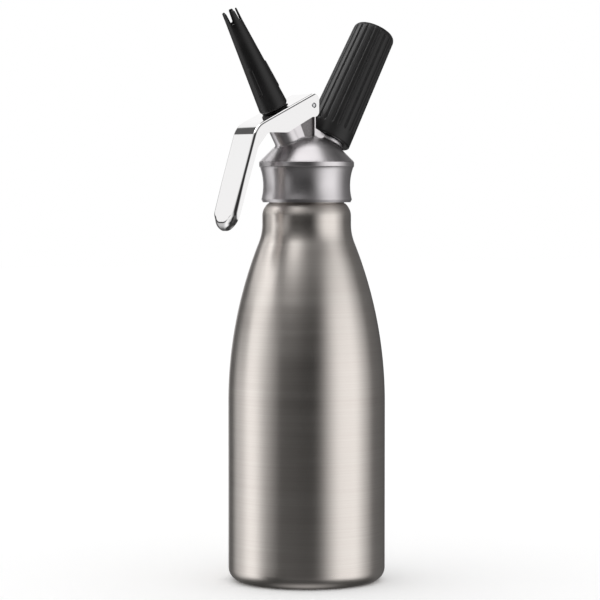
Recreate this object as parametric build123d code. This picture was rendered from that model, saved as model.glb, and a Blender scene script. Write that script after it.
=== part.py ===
from build123d import *
import os
from math import acos, cos, pi, radians, sin, sqrt, tan

# A one-litre cream whipper: a steel bottle, a screwed-on cast head, a squeeze lever that presses a
# spring-loaded valve stem with a tined nozzle on it, and a fluted holder with a gas charger inside.
# Millimetres, +Z up, origin at the middle of the base. The lever points to -X, the holder to +X.

# Bottle
body_radius = 46.0
base_corner = 8.0
body_height = 105.0
shoulder_radius = 253.0
neck_fillet = 30.0
band_radius = 26.0
band_height = 12.1
neck_step = 4.0
neck_land = 0.6
neck_turn = 6.2
neck_height = 10.6
bottle_wall = 1.2

# Collar and dome of the head
lip_gap = 0.6
lip_radius = 26.5
lip_edge = 0.5
lip_bevel = 0.8
lip_height = 1.8
waist_radius = 25.5
waist_rise = 11.0
rim_radius = 27.8
rim_height = 3.0
collar_height = 23.9
dome_radius = 27.5
dome_angle = 45.0
dome_break = 21.0
thread_room = 0.9
gasket_thickness = 2.4
gasket_lap = 0.8
cavity_radius = 17.5
cavity_side = 5.0
cavity_depth = 12.0
cavity_roof = 11.0
dome_blend = 2.0

# Valve axis, which leans towards the lever and crosses the lever's plate at its foot
stem_angle = 28.7
stem_offset = 21.9
stem_rise = 53.75
boss_radius = 8.4
boss_gap = 2.4
spring_pocket = 10.5
spring_pocket_radius = 7.1
bush_length = 12.5
bush_radius = 6.6
stem_radius = 4.5
stem_bore = 2.2
stem_waist = 3.2
stem_waist_length = 5.0
stem_tail = 2.2
stem_port = 1.3
flange_radius = 10.1
flange_thickness = 2.0
collar_ring_radius = 7.6
collar_ring_height = 3.1
ring_section = 0.65
ring_groove = 1.5
ring_spacing = 3.2
seal_radius = 6.3
seal_thickness = 2.2
nut_across = 8.5
nut_thickness = 2.8
nut_overhang = 0.8
seal_room = 1.0

# Return spring
spring_radius = 6.0
spring_wire = 0.55
spring_turns = 6

# Lever, its hinge post and pin
pin_offset = 2.5
pin_rise = 56.3
pin_radius = 1.5
post_round = 3.7
post_half = 8.0
post_cheek = 2.2
post_slope = 40.0
pocket_depth = 1.6
pocket_corner = 0.8
pocket_edge = 0.7
pocket_foot = 18.2
pocket_head = 5.0
pocket_step = 10.6
pocket_head_width = 3.7
pocket_width = 9.9
pocket_foot_width = 6.7
lever_slope = 26.5
lever_half_width = 12.2
lever_wall = 1.6
lever_travel = 7.0
bend_reach = 21.8
bend_radius = 13.0
paddle_angle = 16.8
paddle_length = 64.6
nose_round = 3.0
nose_depth = 3.6
nose_corner = 11.0
nose_margin = -2.0
nose_plan_corner = 6.0
nose_plan_margin = 0.4
flange_depth = 4.6
flange_start = 11.4
ear_end = 3.45
ear_depth = 6.7
ear_neck = 1.0
ear_foot = 18.0
ear_reach = 31.0
ear_drop = 16.0
hinge_corner = 3.5
ear_corner = 3.0
ear_tip_corner = 3.2
ear_front_corner = 4.0
flange_corner = 5.0
plate_hole = 9.1
plate_hole_shift = 0.36
fold_round = 1.6
collar_edge = 0.9

# Nozzle
nozzle_radius = 8.6
nozzle_foot_round = 2.0
nozzle_cone = 53.7
nozzle_neck = 4.85
nozzle_tip = 4.6
nozzle_wall = 1.0
nozzle_socket = 8.5
tine_count = 5
tine_length = 7.4
tine_phase = 47.0
slot_foot_width = 2.1
slot_mouth_width = 3.1
slot_corner = 0.8
tine_round = 0.8
grip_rib_count = 3
grip_rib_height = 0.45
grip_rib_start = 10.9
grip_rib_length = 17.4
grip_rib_arc = 24.0
grip_rib_phase = -29.5
washer_radius = 6.2
washer_thickness = 1.0

# Gas inlet, charger and holder, on an axis that leans away from the lever
inlet_angle = 27.9
inlet_offset = 13.95
inlet_rise = 36.8
inlet_boss_radius = 10.5
holder_gap = 0.4
spigot_radius = 8.0
spigot_height = 10.0
spigot_shank = 5.0
spigot_shank_length = 9.6
cup_floor = 1.0
carrier_radius = 3.0
carrier_length = 4.9
carrier_slot = 1.0
passage_radius = 2.2
check_valve_length = 4.0
pierce_radius = 0.75
pierce_reach = 3.6
inlet_gasket_thickness = 1.4
inlet_gasket_hole = 1.5
charger_radius = 8.9
charger_length = 65.5
charger_neck = 4.4
charger_neck_length = 9.0
charger_shoulder = 9.0
charger_wall = 1.4
charger_seal = 0.8
holder_foot_radius = 14.1
holder_top_radius = 12.65
holder_top_corner = 4.2
holder_foot_edge = 0.6
holder_crown = 1.0
holder_end_wall = 5.6
liner_radius = 10.2
liner_recess = 0.6
liner_length = 11.0
pad_radius = 6.0
pad_thickness = 1.0
flute_count = 20
flute_radius = 0.95
flute_depth = 0.75
flute_start = 8.5

# Clearances
seat_gap = 0.05
press_gap = 0.1
run_gap = 0.05
thread_gap = 0.25
slide_gap = 0.2

# Heights up the bottle
shoulder_turn = acos(1 - (body_radius - band_radius) / (shoulder_radius + neck_fillet))
band_start_z = body_height + (shoulder_radius + neck_fillet) * sin(shoulder_turn)
ledge_z = band_start_z + band_height
neck_radius = band_radius - neck_step
neck_top_z = ledge_z + neck_height
lip_z = ledge_z + lip_gap
seat_z = neck_top_z + gasket_thickness + 2 * press_gap
head_bore = neck_radius + thread_room

# Levels along the valve axis, counted up from where it crosses the lever's plate
lever_lean = radians(max(stem_angle - lever_slope, lever_travel - stem_angle + lever_slope))
flange_top = -(lever_wall / cos(lever_lean) + flange_radius * tan(lever_lean) + press_gap)
flange_foot = flange_top - flange_thickness
lever_arm = (stem_offset - pin_offset) * cos(radians(stem_angle))
lever_arm += (pin_rise - stem_rise) * sin(radians(stem_angle))
stem_travel = lever_arm * radians(lever_travel)
boss_top = flange_foot - stem_travel - boss_gap
spring_seat = boss_top - spring_pocket
valve_seat = spring_seat - bush_length
seal_foot = valve_seat - seat_gap - seal_thickness
nut_foot = seal_foot - seat_gap - nut_thickness
collar_top = flange_top + seat_gap + collar_ring_height
nozzle_foot = collar_top + seat_gap
stem_top = nozzle_foot + nozzle_socket - slide_gap
nozzle_top = nozzle_foot + nozzle_foot_round + nozzle_cone + tine_length

# Levels along the inlet axis, counted up from the foot of the holder
gasket_top = cup_floor + seat_gap + inlet_gasket_thickness
charger_foot = gasket_top + seat_gap
charger_top = charger_foot + charger_length
pad_foot = charger_top + seat_gap
holder_bore_top = pad_foot + pad_thickness + seat_gap
holder_shoulder = holder_bore_top + holder_end_wall - holder_crown
charger_bore = charger_radius + thread_gap


def leaning_frame(x, z, lean):
    """A frame whose Z axis leans from the vertical, in the lever's plane."""
    turn = radians(lean)
    return Plane(origin=(x, 0, z), x_dir=(cos(turn), 0, -sin(turn)), z_dir=(sin(turn), 0, cos(turn)))


stem_frame = leaning_frame(-stem_offset, lip_z + stem_rise, -stem_angle)
inlet_frame = leaning_frame(inlet_offset, lip_z + inlet_rise, inlet_angle)
pin_x = -pin_offset
pin_z = lip_z + pin_rise


def on_stem(shape):
    return stem_frame.location * shape


def on_inlet(shape):
    return inlet_frame.location * shape


def disc(radius, foot, top, hole=0.0):
    """A straight round piece about the Z axis, with a hole where one is asked for."""
    section = Circle(radius)
    if hole:
        section -= Circle(hole)
    return extrude(Plane.XY.offset(foot) * section, amount=top - foot)


def turned(outline):
    """A piece turned about the Z axis from a closed outline of radius and height."""
    return revolve(Plane.XZ * make_face(outline), Axis.Z)


def rounded_face(*corners):
    """A closed outline from corners of (x, y, corner radius)."""
    face = make_face(Polyline(*[(x, y) for x, y, _ in corners], close=True))
    for x, y, radius in corners:
        if radius:
            face = fillet(face.vertices().sort_by_distance((x, y))[0], radius)
    return face


def side_prism(face, half_width):
    """A side view, drawn in X and Z, made equally thick to both sides of the lever's plane."""
    return extrude(Plane.XZ * face, amount=half_width, both=True)


def bottle_outline(inset, top):
    """Half of the bottle's outline, moved inwards by the wall for the inside."""
    body = body_radius - inset
    band = band_radius - inset
    neck = neck_radius - inset
    base = base_corner - inset
    bend = neck_step - neck_land - inset
    turn = neck_turn - inset
    ledge = ledge_z - inset
    sweep_end_radius = body - (shoulder_radius - inset) * (1 - cos(shoulder_turn))
    sweep_end = (sweep_end_radius, body_height + (shoulder_radius - inset) * sin(shoulder_turn))
    sweep_way = (-sin(shoulder_turn), cos(shoulder_turn))
    return (
        Polyline((0, top), (0, inset), (body - base, inset))
        + TangentArc((body - base, inset), (body, inset + base), tangent=(1, 0))
        + Line((body, inset + base), (body, body_height))
        + TangentArc((body, body_height), sweep_end, tangent=(0, 1))
        + TangentArc(sweep_end, (band, band_start_z), tangent=sweep_way)
        + Line((band, band_start_z), (band, ledge - turn))
        + TangentArc((band, ledge - turn), (band - bend, ledge), tangent=(0, 1))
        + Polyline((band - bend, ledge), (neck, ledge), (neck, top), (0, top))
    )


def make_bottle():
    outside = turned(bottle_outline(0, neck_top_z))
    inside = turned(bottle_outline(bottle_wall, neck_top_z + bottle_wall))
    return outside - inside


def make_head_gasket():
    foot = neck_top_z + press_gap
    inner = neck_radius - bottle_wall - gasket_lap
    return disc(head_bore - slide_gap, foot, foot + gasket_thickness, inner)


def head_outline():
    """Half of the collar and dome, as a turned piece."""
    rim_foot_z = lip_z + collar_height - rim_height
    rim_top_z = lip_z + collar_height
    waist_foot = (lip_radius, lip_z + lip_height)
    waist_top = (rim_radius - lip_edge, rim_foot_z - lip_edge)
    dome_foot = (dome_radius, rim_top_z)
    dome_rise = (dome_radius - dome_break) * tan(radians(dome_angle))
    cap_foot = (dome_break, rim_top_z + dome_rise)
    cap_top = (0, cap_foot[1] + dome_break * tan(radians(dome_angle) / 2))
    return (
        Polyline(
            (0, lip_z),
            (lip_radius - lip_bevel, lip_z),
            (lip_radius, lip_z + 2 * lip_bevel),
            waist_foot,
        )
        + ThreePointArc(waist_foot, (waist_radius, lip_z + waist_rise), waist_top)
        + Polyline(
            waist_top,
            (rim_radius, rim_foot_z),
            (rim_radius, rim_top_z - lip_edge),
            (rim_radius - lip_edge, rim_top_z),
            dome_foot,
            cap_foot,
        )
        + TangentArc(cap_top, cap_foot, tangent=(1, 0))
        + Line(cap_top, (0, lip_z))
    )


def stem_point(across, level):
    """X and Z of a point beside the valve axis."""
    turn = radians(stem_angle)
    x = -stem_offset + across * cos(turn) - level * sin(turn)
    z = lip_z + stem_rise + across * sin(turn) + level * cos(turn)
    return x, z


def make_post():
    """The flat web from the valve boss to the hinge, rounded about the pin."""
    slope = radians(post_slope)
    round_end = (pin_x - post_round * sin(slope), pin_z + post_round * cos(slope))
    clear = flange_radius + 2 * slide_gap
    notch_foot = stem_point(clear, boss_top)
    across = (round_end[0] + stem_offset) * cos(radians(stem_angle))
    across += (round_end[1] - lip_z - stem_rise) * sin(radians(stem_angle))
    run = (across - clear) / cos(slope - radians(stem_angle))
    notch_top = (round_end[0] - run * cos(slope), round_end[1] - run * sin(slope))
    right = pin_x + post_round
    root_z = lip_z + collar_height
    outline = (
        Polyline((stem_point(0, valve_seat)[0], root_z), (right, root_z), (right, pin_z))
        + ThreePointArc(
            (right, pin_z),
            (pin_x + post_round * cos(pi / 4), pin_z + post_round * sin(pi / 4)),
            (pin_x, pin_z + post_round),
        )
        + TangentArc((pin_x, pin_z + post_round), round_end, tangent=(-1, 0))
        + Polyline(
            round_end,
            notch_top,
            notch_foot,
            stem_point(0, boss_top),
            (stem_point(0, valve_seat)[0], root_z),
        )
    )
    return side_prism(make_face(outline), post_half)


def make_web():
    """The cast fill between the post and the inlet boss, level with the boss under the holder."""
    left = pin_x
    root_z = lip_z + collar_height
    top = lip_z + inlet_rise - holder_gap / cos(radians(inlet_angle))
    left_top = top + (inlet_offset - left) * tan(radians(inlet_angle))
    face = make_face(
        Polyline((left, root_z), (inlet_offset, root_z), (inlet_offset, top), (left, left_top), close=True)
    )
    return side_prism(face, post_half)


def make_pockets():
    """The as-cast hollows in both sides of the hinge post."""
    right = pin_x + post_round - pocket_edge
    foot = pin_z - pocket_foot
    head = pin_z - pocket_head
    face = rounded_face(
        (right, foot, pocket_corner),
        (right, head, pocket_corner),
        (right - pocket_head_width, head, pocket_corner),
        (right - pocket_width, pin_z - pocket_step, pocket_corner),
        (right - pocket_foot_width, foot, pocket_corner),
    )
    block = side_prism(face, boss_radius + pocket_depth)
    return block - side_prism(face, post_half - pocket_depth)


def blended(shape, dome, far_x):
    """The cast rounding where a boss or the post grows out of the dome, up to a place along X."""
    rim_z = lip_z + collar_height
    roots = []
    for edge in shape.edges():
        middle = edge @ 0.5
        level = max(abs((edge @ share).Z - middle.Z) for share in (0.1, 0.3, 0.9)) < seat_gap
        on_dome = min(face.distance_to(middle) for face in dome.faces()) < seat_gap
        seam = abs(middle.Y) < seat_gap and middle.X > far_x
        if middle.Z > rim_z + seat_gap and on_dome and not level and not seam:
            roots.append(edge)
    return fillet(roots, dome_blend)


def make_head():
    dome = turned(head_outline())
    body = blended(dome + on_stem(disc(boss_radius, valve_seat, boss_top)) + make_post(), dome, 0)
    pin_line = Plane.XZ * Pos(pin_x, pin_z)
    body += extrude(pin_line * Circle(post_round), amount=post_half + post_cheek, both=True)
    inlet_boss = on_inlet(disc(inlet_boss_radius, -spigot_shank_length, -holder_gap))
    body += blended(dome + inlet_boss, dome, dome_radius)
    body += make_web()
    body -= make_pockets()
    body -= disc(head_bore, lip_z - lip_gap, seat_z)
    roof_z = seat_z + cavity_depth
    body -= turned(
        Polyline(
            (0, lip_z),
            (cavity_radius, lip_z),
            (cavity_radius, seat_z + cavity_side),
            (cavity_roof, roof_z),
            (0, roof_z),
            close=True,
        )
    )
    body -= on_stem(disc(spring_pocket_radius, spring_seat, boss_top + boss_gap))
    body -= on_stem(disc(bush_radius + run_gap, valve_seat - seal_thickness, boss_top))
    drain = valve_seat - seal_thickness - nut_thickness - stem_travel - 2 * boss_gap
    body -= on_stem(disc(seal_radius + seal_room, drain, valve_seat))
    body -= on_inlet(disc(spigot_shank + run_gap, -holder_gap - spigot_shank_length, holder_gap))
    body -= on_inlet(disc(passage_radius, -2 * spigot_shank_length, 0))
    body -= extrude(pin_line * Circle(pin_radius + run_gap), amount=2 * lever_half_width, both=True)
    return body


def make_valve_bush():
    return on_stem(disc(bush_radius, valve_seat, spring_seat - seat_gap, stem_radius + run_gap))


def ring_levels():
    """Middles of the two sealing rings on the stem."""
    lower = valve_seat + stem_waist_length + ring_groove
    return lower, lower + ring_spacing


def make_valve_stem():
    shoulder = valve_seat - seat_gap
    tail_foot = nut_foot - nut_overhang
    stem = disc(stem_tail, tail_foot, shoulder)
    stem += disc(stem_waist, shoulder, valve_seat + stem_waist_length)
    stem += disc(stem_radius, valve_seat + stem_waist_length, stem_top)
    stem += disc(flange_radius, flange_foot, flange_top)
    groove_floor = stem_radius - 2 * ring_section
    for level in ring_levels():
        stem -= disc(stem_radius + 1, level - ring_groove / 2, level + ring_groove / 2, groove_floor)
    port_level = valve_seat + stem_waist_length / 2
    stem -= disc(stem_bore, valve_seat + seat_gap, stem_top + 1)
    stem -= extrude(Plane.YZ * Pos(0, port_level) * Circle(stem_port), amount=2 * stem_waist, both=True)
    stem -= extrude(Plane.XZ * Pos(0, port_level) * Circle(stem_port), amount=2 * stem_waist, both=True)
    return on_stem(stem)


def make_stem_collar():
    foot = flange_top + seat_gap
    ring = disc(collar_ring_radius, foot, collar_top, stem_radius + seat_gap)
    top_edge = ring.edges().filter_by(GeomType.CIRCLE).sort_by(Axis.Z)[-2:].sort_by(SortBy.RADIUS)[-1]
    return on_stem(fillet(top_edge, collar_edge))


def make_stem_ring(level):
    middle = stem_radius - ring_section
    return on_stem(Pos(0, 0, level) * Torus(middle, ring_section))


def make_valve_seal():
    return on_stem(disc(seal_radius, seal_foot, seal_foot + seal_thickness, stem_tail + seat_gap))


def make_seal_nut():
    section = RegularPolygon(nut_across / 2, 6, major_radius=False) - Circle(stem_tail + seat_gap)
    return on_stem(extrude(Plane.XY.offset(nut_foot) * section, amount=nut_thickness))


def spring_point(turns, pitch, foot):
    angle = 2 * pi * turns
    return Vector(spring_radius * cos(angle), spring_radius * sin(angle), foot + pitch * turns)


def spring_way(turns, pitch):
    angle = 2 * pi * turns
    rise = pitch / (2 * pi * spring_radius)
    return Vector(-sin(angle), cos(angle), rise).normalized()


def make_return_spring():
    """An open coil of round wire between the bush and the stem's flange, as pairs of arcs."""
    foot = spring_seat + spring_wire + seat_gap
    pitch = (flange_foot - spring_seat - 2 * spring_wire - 2 * seat_gap) / spring_turns
    arcs = []
    quarters = 4 * spring_turns
    for quarter in range(quarters):
        start = spring_point(quarter / 4, pitch, foot)
        end = spring_point((quarter + 1) / 4, pitch, foot)
        way_in = spring_way(quarter / 4, pitch)
        way_out = spring_way((quarter + 1) / 4, pitch)
        span = end - start
        both = way_in + way_out
        spread = 2 * (1 - way_in.dot(way_out))
        reach = (-span.dot(both) + sqrt(span.dot(both) ** 2 + spread * span.dot(span))) / spread
        first_corner = start + way_in * reach
        second_corner = end - way_out * reach
        middle = (first_corner + second_corner) * 0.5
        arcs.append(TangentArc(start, middle, tangent=way_in))
        arcs.append(TangentArc(middle, end, tangent=second_corner - first_corner))
    path = Wire(arcs)
    section = Plane(origin=path @ 0, z_dir=path % 0) * Circle(spring_wire)
    return on_stem(sweep(section, path=path))


def make_hinge_pin():
    section = Plane.XZ * Pos(pin_x, pin_z) * Circle(pin_radius)
    return extrude(section, amount=lever_half_width, both=True)


def plate_point(along, below=0.0):
    """X and Z on the lever's plate, counted from the valve axis towards the bend."""
    slope = radians(lever_slope)
    x = -stem_offset - along * cos(slope) + below * sin(slope)
    z = lip_z + stem_rise - along * sin(slope) - below * cos(slope)
    return x, z


def paddle_point(along, inside=0.0):
    """X and Z on the lever's paddle, counted down from the bend's corner."""
    turn = radians(paddle_angle)
    corner_x, corner_z = plate_point(bend_reach)
    x = corner_x - along * sin(turn) + inside * cos(turn)
    z = corner_z - along * cos(turn) - inside * sin(turn)
    return x, z


def plate_end(end_x, below=0.0):
    """The plate's height at a place along X, on its top or below it."""
    slope = radians(lever_slope)
    return end_x, lip_z + stem_rise + (end_x + stem_offset) * tan(slope) - below / cos(slope)


def lever_front(inset):
    """The lever seen along X: straight sides, rounded off below for the nose."""
    half = lever_half_width - inset
    nose_z = paddle_point(paddle_length - nose_round, nose_round)[1] - nose_round
    foot = nose_z - nose_margin + inset
    top = pin_z + ear_reach
    face = rounded_face(
        (-half, foot, nose_corner - inset),
        (half, foot, nose_corner - inset),
        (half, top, 0),
        (-half, top, 0),
    )
    return extrude(Plane.YZ * face, amount=3 * paddle_length, both=True)


def lever_plan(inset):
    """The lever seen from above: straight sides, rounded off at the tip."""
    half = lever_half_width - inset
    nose_x = paddle_point(paddle_length - nose_round, nose_round)[0] - nose_round
    tip_x = nose_x - nose_plan_margin + inset
    far = 2 * lever_half_width
    face = rounded_face(
        (tip_x, -half, nose_plan_corner - inset),
        (far, -half, 0),
        (far, half, 0),
        (tip_x, half, nose_plan_corner - inset),
    )
    return extrude(Plane.XY.offset(pin_z - 2 * paddle_length) * face, amount=3 * paddle_length)


def lever_side(inset):
    """The outer line over the plate, round the bend and down the paddle to the nose, moved inwards."""
    shift = inset * tan(radians((90 - lever_slope - paddle_angle) / 2))
    far = lever_half_width + inset
    return rounded_face(
        (*plate_end(far, inset), 0),
        (*plate_point(bend_reach - shift, inset), bend_radius - inset),
        (*paddle_point(paddle_length - inset, inset), nose_round - inset),
        (*paddle_point(paddle_length - inset, paddle_length), 0),
        (far, pin_z - paddle_length, 0),
    )


def lever_profile():
    """The side view's free edges: round the hinge end, under the ears and down inside the flanges."""
    end_x = pin_x + ear_end
    left_x, left_z = plate_point(3 * bend_reach, -seat_gap)
    foot_x, foot_z = paddle_point(paddle_length + nose_round, nose_depth)
    return rounded_face(
        (*plate_end(end_x, -seat_gap), hinge_corner),
        (left_x, left_z, 0),
        (left_x, foot_z, 0),
        (foot_x, foot_z, 0),
        (*paddle_point(flange_start, flange_depth), flange_corner),
        (pin_x - ear_reach, pin_z - ear_drop, ear_front_corner),
        (pin_x - ear_foot, pin_z - ear_drop, ear_corner),
        (pin_x - ear_neck, pin_z - ear_depth, ear_corner),
        (end_x, pin_z - ear_depth, ear_tip_corner),
    )


def make_lever():
    block = side_prism(lever_side(0), lever_half_width) & lever_front(0) & lever_plan(0)
    outer_line = [line for line in (Plane.XZ * lever_side(0)).edges() if (line @ 0.5).X < pin_x]
    folds = []
    for edge in block.edges():
        middle = edge @ 0.5
        flat_middle = Vector(middle.X, 0, middle.Z)
        nearest = min(line.distance_to(flat_middle) for line in outer_line)
        if abs(middle.Y) > lever_wall and nearest < seat_gap:
            folds.append(edge)
    lever = fillet(folds, fold_round) & side_prism(lever_profile(), 2 * lever_half_width)
    inside = side_prism(lever_side(lever_wall), lever_half_width - lever_wall)
    lever -= inside & lever_front(lever_wall) & lever_plan(lever_wall)
    slope = radians(lever_slope)
    hole_x, hole_z = plate_point(-plate_hole_shift)
    hole_plane = Plane(origin=(hole_x, 0, hole_z), z_dir=(-sin(slope), 0, cos(slope)))
    lever -= extrude(hole_plane * Circle(plate_hole), amount=2 * lever_wall, both=True)
    pin_section = Plane.XZ * Pos(pin_x, pin_z) * Circle(pin_radius + run_gap)
    return lever - extrude(pin_section, amount=2 * lever_half_width, both=True)


def make_nozzle_washer():
    foot = collar_top + seat_gap
    return on_stem(disc(washer_radius, foot, foot + washer_thickness, stem_radius + thread_gap))


def nozzle_side(level):
    """Outside radius of the nozzle's cone at a level of the valve axis."""
    drop = (level - nozzle_foot - nozzle_foot_round) / nozzle_cone
    return nozzle_radius + (nozzle_neck - nozzle_radius) * drop


def make_nozzle():
    socket_top = nozzle_foot + nozzle_socket
    socket_radius = stem_radius + thread_gap
    tip_bore = nozzle_tip - nozzle_wall
    lip = nozzle_wall / 3
    seat_radius = washer_radius + seat_gap
    seat_roof = nozzle_foot + washer_thickness + seat_gap
    foot_end = (nozzle_radius - nozzle_foot_round, nozzle_foot)
    side_start = (nozzle_radius, nozzle_foot + nozzle_foot_round)
    body = turned(
        TangentArc(foot_end, side_start, tangent=(1, 0))
        + Polyline(
            side_start,
            (nozzle_neck, nozzle_top - tine_length),
            (nozzle_tip, nozzle_top - lip),
            (nozzle_tip - lip, nozzle_top),
            (tip_bore, nozzle_top),
            (socket_radius - 2 * thread_gap, socket_top),
            (socket_radius, socket_top),
            (socket_radius, seat_roof),
            (seat_radius, seat_roof),
            (seat_radius, nozzle_foot),
            foot_end,
        )
    )
    rib_foot = nozzle_foot + grip_rib_start
    rib_top = rib_foot + grip_rib_length
    rib = Polyline(
        (nozzle_side(rib_foot) - 1, rib_foot),
        (nozzle_side(rib_foot), rib_foot),
        (nozzle_side(rib_foot) + grip_rib_height, rib_foot + grip_rib_height),
        (nozzle_side(rib_top) + grip_rib_height, rib_top - grip_rib_height),
        (nozzle_side(rib_top), rib_top),
        (nozzle_side(rib_top) - 1, rib_top),
        close=True,
    )
    rib_solid = revolve(Plane.XZ * make_face(rib), Axis.Z, grip_rib_arc)
    slot_foot = nozzle_top - tine_length
    slot = rounded_face(
        (-slot_foot_width / 2, slot_foot, slot_corner),
        (slot_foot_width / 2, slot_foot, slot_corner),
        (slot_mouth_width / 2, nozzle_top - tine_round, tine_round),
        (slot_mouth_width / 2 + tine_round, nozzle_top + tine_round, 0),
        (-slot_mouth_width / 2 - tine_round, nozzle_top + tine_round, 0),
        (-slot_mouth_width / 2, nozzle_top - tine_round, tine_round),
    )
    cutter = extrude(Plane.YZ * slot, amount=2 * nozzle_tip)
    for place in range(grip_rib_count):
        body += Rot(0, 0, grip_rib_phase - grip_rib_arc / 2 + 360 * place / grip_rib_count) * rib_solid
    for place in range(tine_count):
        body -= Rot(0, 0, tine_phase + 360 * (place + 0.5) / tine_count) * cutter
    return on_stem(body)


def make_inlet_spigot():
    spigot = disc(spigot_shank, -spigot_shank_length, -holder_gap)
    spigot += disc(spigot_radius, -holder_gap + seat_gap, spigot_height)
    spigot += disc(spigot_shank, -holder_gap, -holder_gap + seat_gap)
    spigot -= disc(charger_neck + thread_gap, cup_floor, spigot_height + 1)
    spigot -= disc(carrier_radius, cup_floor - carrier_length, cup_floor)
    spigot -= disc(passage_radius, -spigot_shank_length - 1, cup_floor)
    return on_inlet(spigot)


def make_pin_carrier():
    carrier = disc(
        carrier_radius - run_gap, cup_floor - carrier_length + seat_gap, cup_floor, pierce_radius + run_gap
    )
    slot = Box(carrier_radius, carrier_slot, 2 * carrier_length)
    return on_inlet(carrier - Pos(carrier_radius, 0, cup_floor - carrier_length / 2) * slot)


def make_pierce_pin():
    foot = cup_floor - carrier_length + seat_gap
    tip = charger_foot + charger_seal + pierce_reach
    return on_inlet(
        turned(
            Polyline(
                (0, foot),
                (pierce_radius, foot),
                (pierce_radius, tip - 3 * pierce_radius),
                (0, tip),
                close=True,
            )
        )
    )


def make_check_valve():
    foot = -spigot_shank_length
    sleeve = disc(passage_radius - run_gap, foot, foot + check_valve_length, pierce_radius)
    return on_inlet(sleeve)


def make_inlet_gasket():
    foot = cup_floor + seat_gap
    return on_inlet(disc(charger_neck, foot, foot + inlet_gasket_thickness, inlet_gasket_hole))


def charger_outline(inset, foot):
    """Half of the capsule: a straight neck, a round shoulder, a long body and a round end."""
    neck = charger_neck - inset
    body = charger_radius - inset
    neck_top = charger_foot + charger_neck_length
    shoulder_top = neck_top + charger_shoulder
    end_start = charger_top - charger_radius
    middle = ((neck + body) / 2, (neck_top + shoulder_top) / 2)
    run = (body - neck) / 2
    rise = charger_shoulder / 2
    way = (2 * run * rise, rise ** 2 - run ** 2)
    return (
        Polyline((0, foot), (neck, foot), (neck, neck_top))
        + TangentArc((neck, neck_top), middle, tangent=(0, 1))
        + TangentArc(middle, (body, shoulder_top), tangent=way)
        + Line((body, shoulder_top), (body, end_start))
        + TangentArc((body, end_start), (0, end_start + body), tangent=(0, 1))
        + Line((0, end_start + body), (0, foot))
    )


def make_gas_charger():
    shell = turned(charger_outline(0, charger_foot))
    shell -= turned(charger_outline(charger_wall, charger_foot + charger_seal))
    shell -= disc(pierce_radius + thread_gap, charger_foot - 1, charger_foot + 2 * charger_seal)
    return on_inlet(shell)


def make_holder_grip():
    outline = (
        Polyline(
            (0, 0),
            (holder_foot_radius - holder_foot_edge, 0),
            (holder_foot_radius, holder_foot_edge),
            (holder_top_radius, holder_shoulder - holder_top_corner),
        )
        + TangentArc(
            (holder_top_radius, holder_shoulder - holder_top_corner),
            (holder_top_radius - holder_top_corner, holder_shoulder),
            tangent=(0, 1),
        )
        + TangentArc(
            (0, holder_shoulder + holder_crown),
            (holder_top_radius - holder_top_corner, holder_shoulder),
            tangent=(1, 0),
        )
        + Line((0, holder_shoulder + holder_crown), (0, 0))
    )
    grip = turned(outline)
    rise = holder_shoulder - holder_top_corner - holder_foot_edge
    taper = (holder_foot_radius - holder_top_radius) / rise
    start_radius = holder_foot_radius - taper * (flute_start - holder_foot_edge)
    lane = start_radius + flute_radius - flute_depth
    lane_plane = Plane(origin=(lane, 0, flute_start), z_dir=(-taper, 0, 1))
    cutter = lane_plane.location * turned(
        Polyline((0, 0), (0, holder_shoulder), (flute_radius, holder_shoulder), (flute_radius, 0))
        + TangentArc((flute_radius, 0), (0, -flute_radius), tangent=(0, -1))
        + Line((0, -flute_radius), (0, 0))
    )
    for place in range(flute_count):
        grip -= Rot(0, 0, 360 * place / flute_count) * cutter
    grip -= disc(liner_radius + seat_gap, -1, liner_recess + liner_length + seat_gap)
    return on_inlet(grip - disc(charger_bore, 0, holder_bore_top))


def make_holder_liner():
    top = liner_recess + liner_length
    return on_inlet(disc(liner_radius, liner_recess, top, spigot_radius + thread_gap))


def make_holder_pad():
    return on_inlet(disc(pad_radius, pad_foot, pad_foot + pad_thickness))


pieces = {
    "bottle": make_bottle(),
    "head_gasket": make_head_gasket(),
    "head": make_head(),
    "valve_bush": make_valve_bush(),
    "return_spring": make_return_spring(),
    "hinge_pin": make_hinge_pin(),
    "inlet_spigot": make_inlet_spigot(),
    "pin_carrier": make_pin_carrier(),
    "pierce_pin": make_pierce_pin(),
    "check_valve": make_check_valve(),
    "inlet_gasket": make_inlet_gasket(),
    "lever": make_lever(),
    "valve_stem": make_valve_stem(),
    "stem_collar": make_stem_collar(),
    "lower_stem_ring": make_stem_ring(ring_levels()[0]),
    "upper_stem_ring": make_stem_ring(ring_levels()[1]),
    "valve_seal": make_valve_seal(),
    "seal_nut": make_seal_nut(),
    "nozzle_washer": make_nozzle_washer(),
    "nozzle": make_nozzle(),
    "gas_charger": make_gas_charger(),
    "holder_grip": make_holder_grip(),
    "holder_liner": make_holder_liner(),
    "holder_pad": make_holder_pad(),
}

os.makedirs("parts", exist_ok=True)
for name, piece in pieces.items():
    export_step(piece, f"parts/{name}.step")
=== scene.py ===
from math import acos, atan2, ceil, cos, hypot, pi, radians, sin, tan

import bmesh
import bpy
from mathutils import Matrix, Vector


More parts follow.
